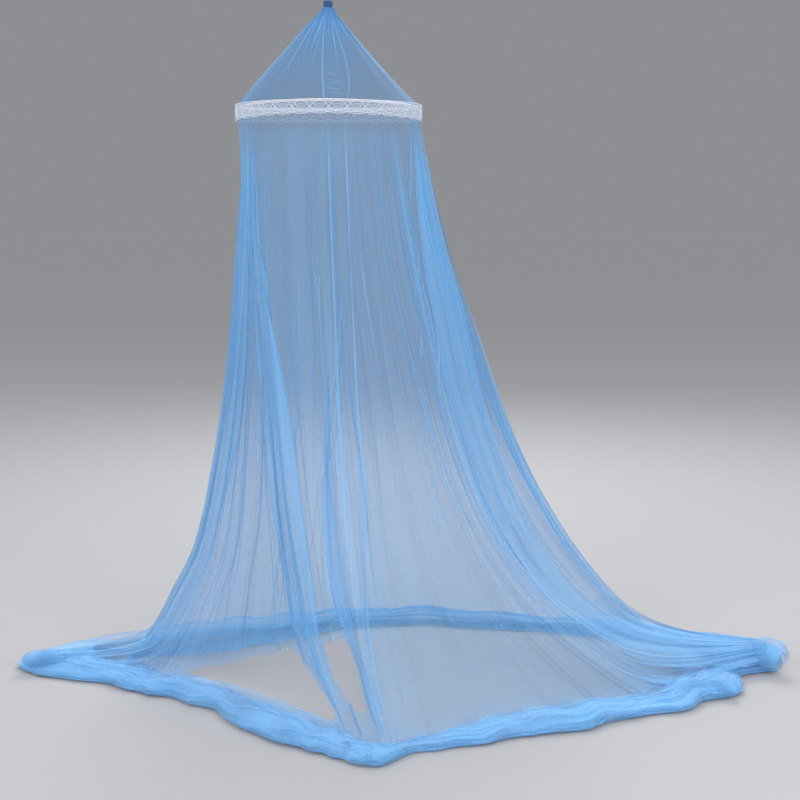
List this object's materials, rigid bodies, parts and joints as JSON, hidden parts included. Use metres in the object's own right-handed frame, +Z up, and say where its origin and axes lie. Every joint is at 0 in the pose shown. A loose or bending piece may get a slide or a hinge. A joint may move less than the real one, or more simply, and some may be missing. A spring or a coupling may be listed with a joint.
{
  "type": "mosquito net canopy with hoop",
  "caption": "Hanging conical bed net: a pleated crown over a hoop with a lace band, and a long sheer skirt spread and bunched on the floor.",
  "frame": {"origin": "the hanging point, at the centre of the crown binding's top", "axes": "+Z up; +X to the right as seen from the front, along the skirt's longest spread; the front, with the low gaps, faces -Y"},
  "size_m": [2.6099, 1.3675, 2.1896],
  "materials": {
    "tape_blue": "dark blue woven tape",
    "crown_net_blue": "sheer sky-blue net",
    "hoop_white": "smooth white",
    "lace_white": "white lace",
    "skirt_net_blue": "sheer sky-blue net"
  },
  "bodies": {
    "root": {"crown_binding": "tape_blue", "crown_net": "crown_net_blue", "hoop": "hoop_white", "lace_band": "lace_white", "skirt_net": "skirt_net_blue"}
  },
  "joints": []
}
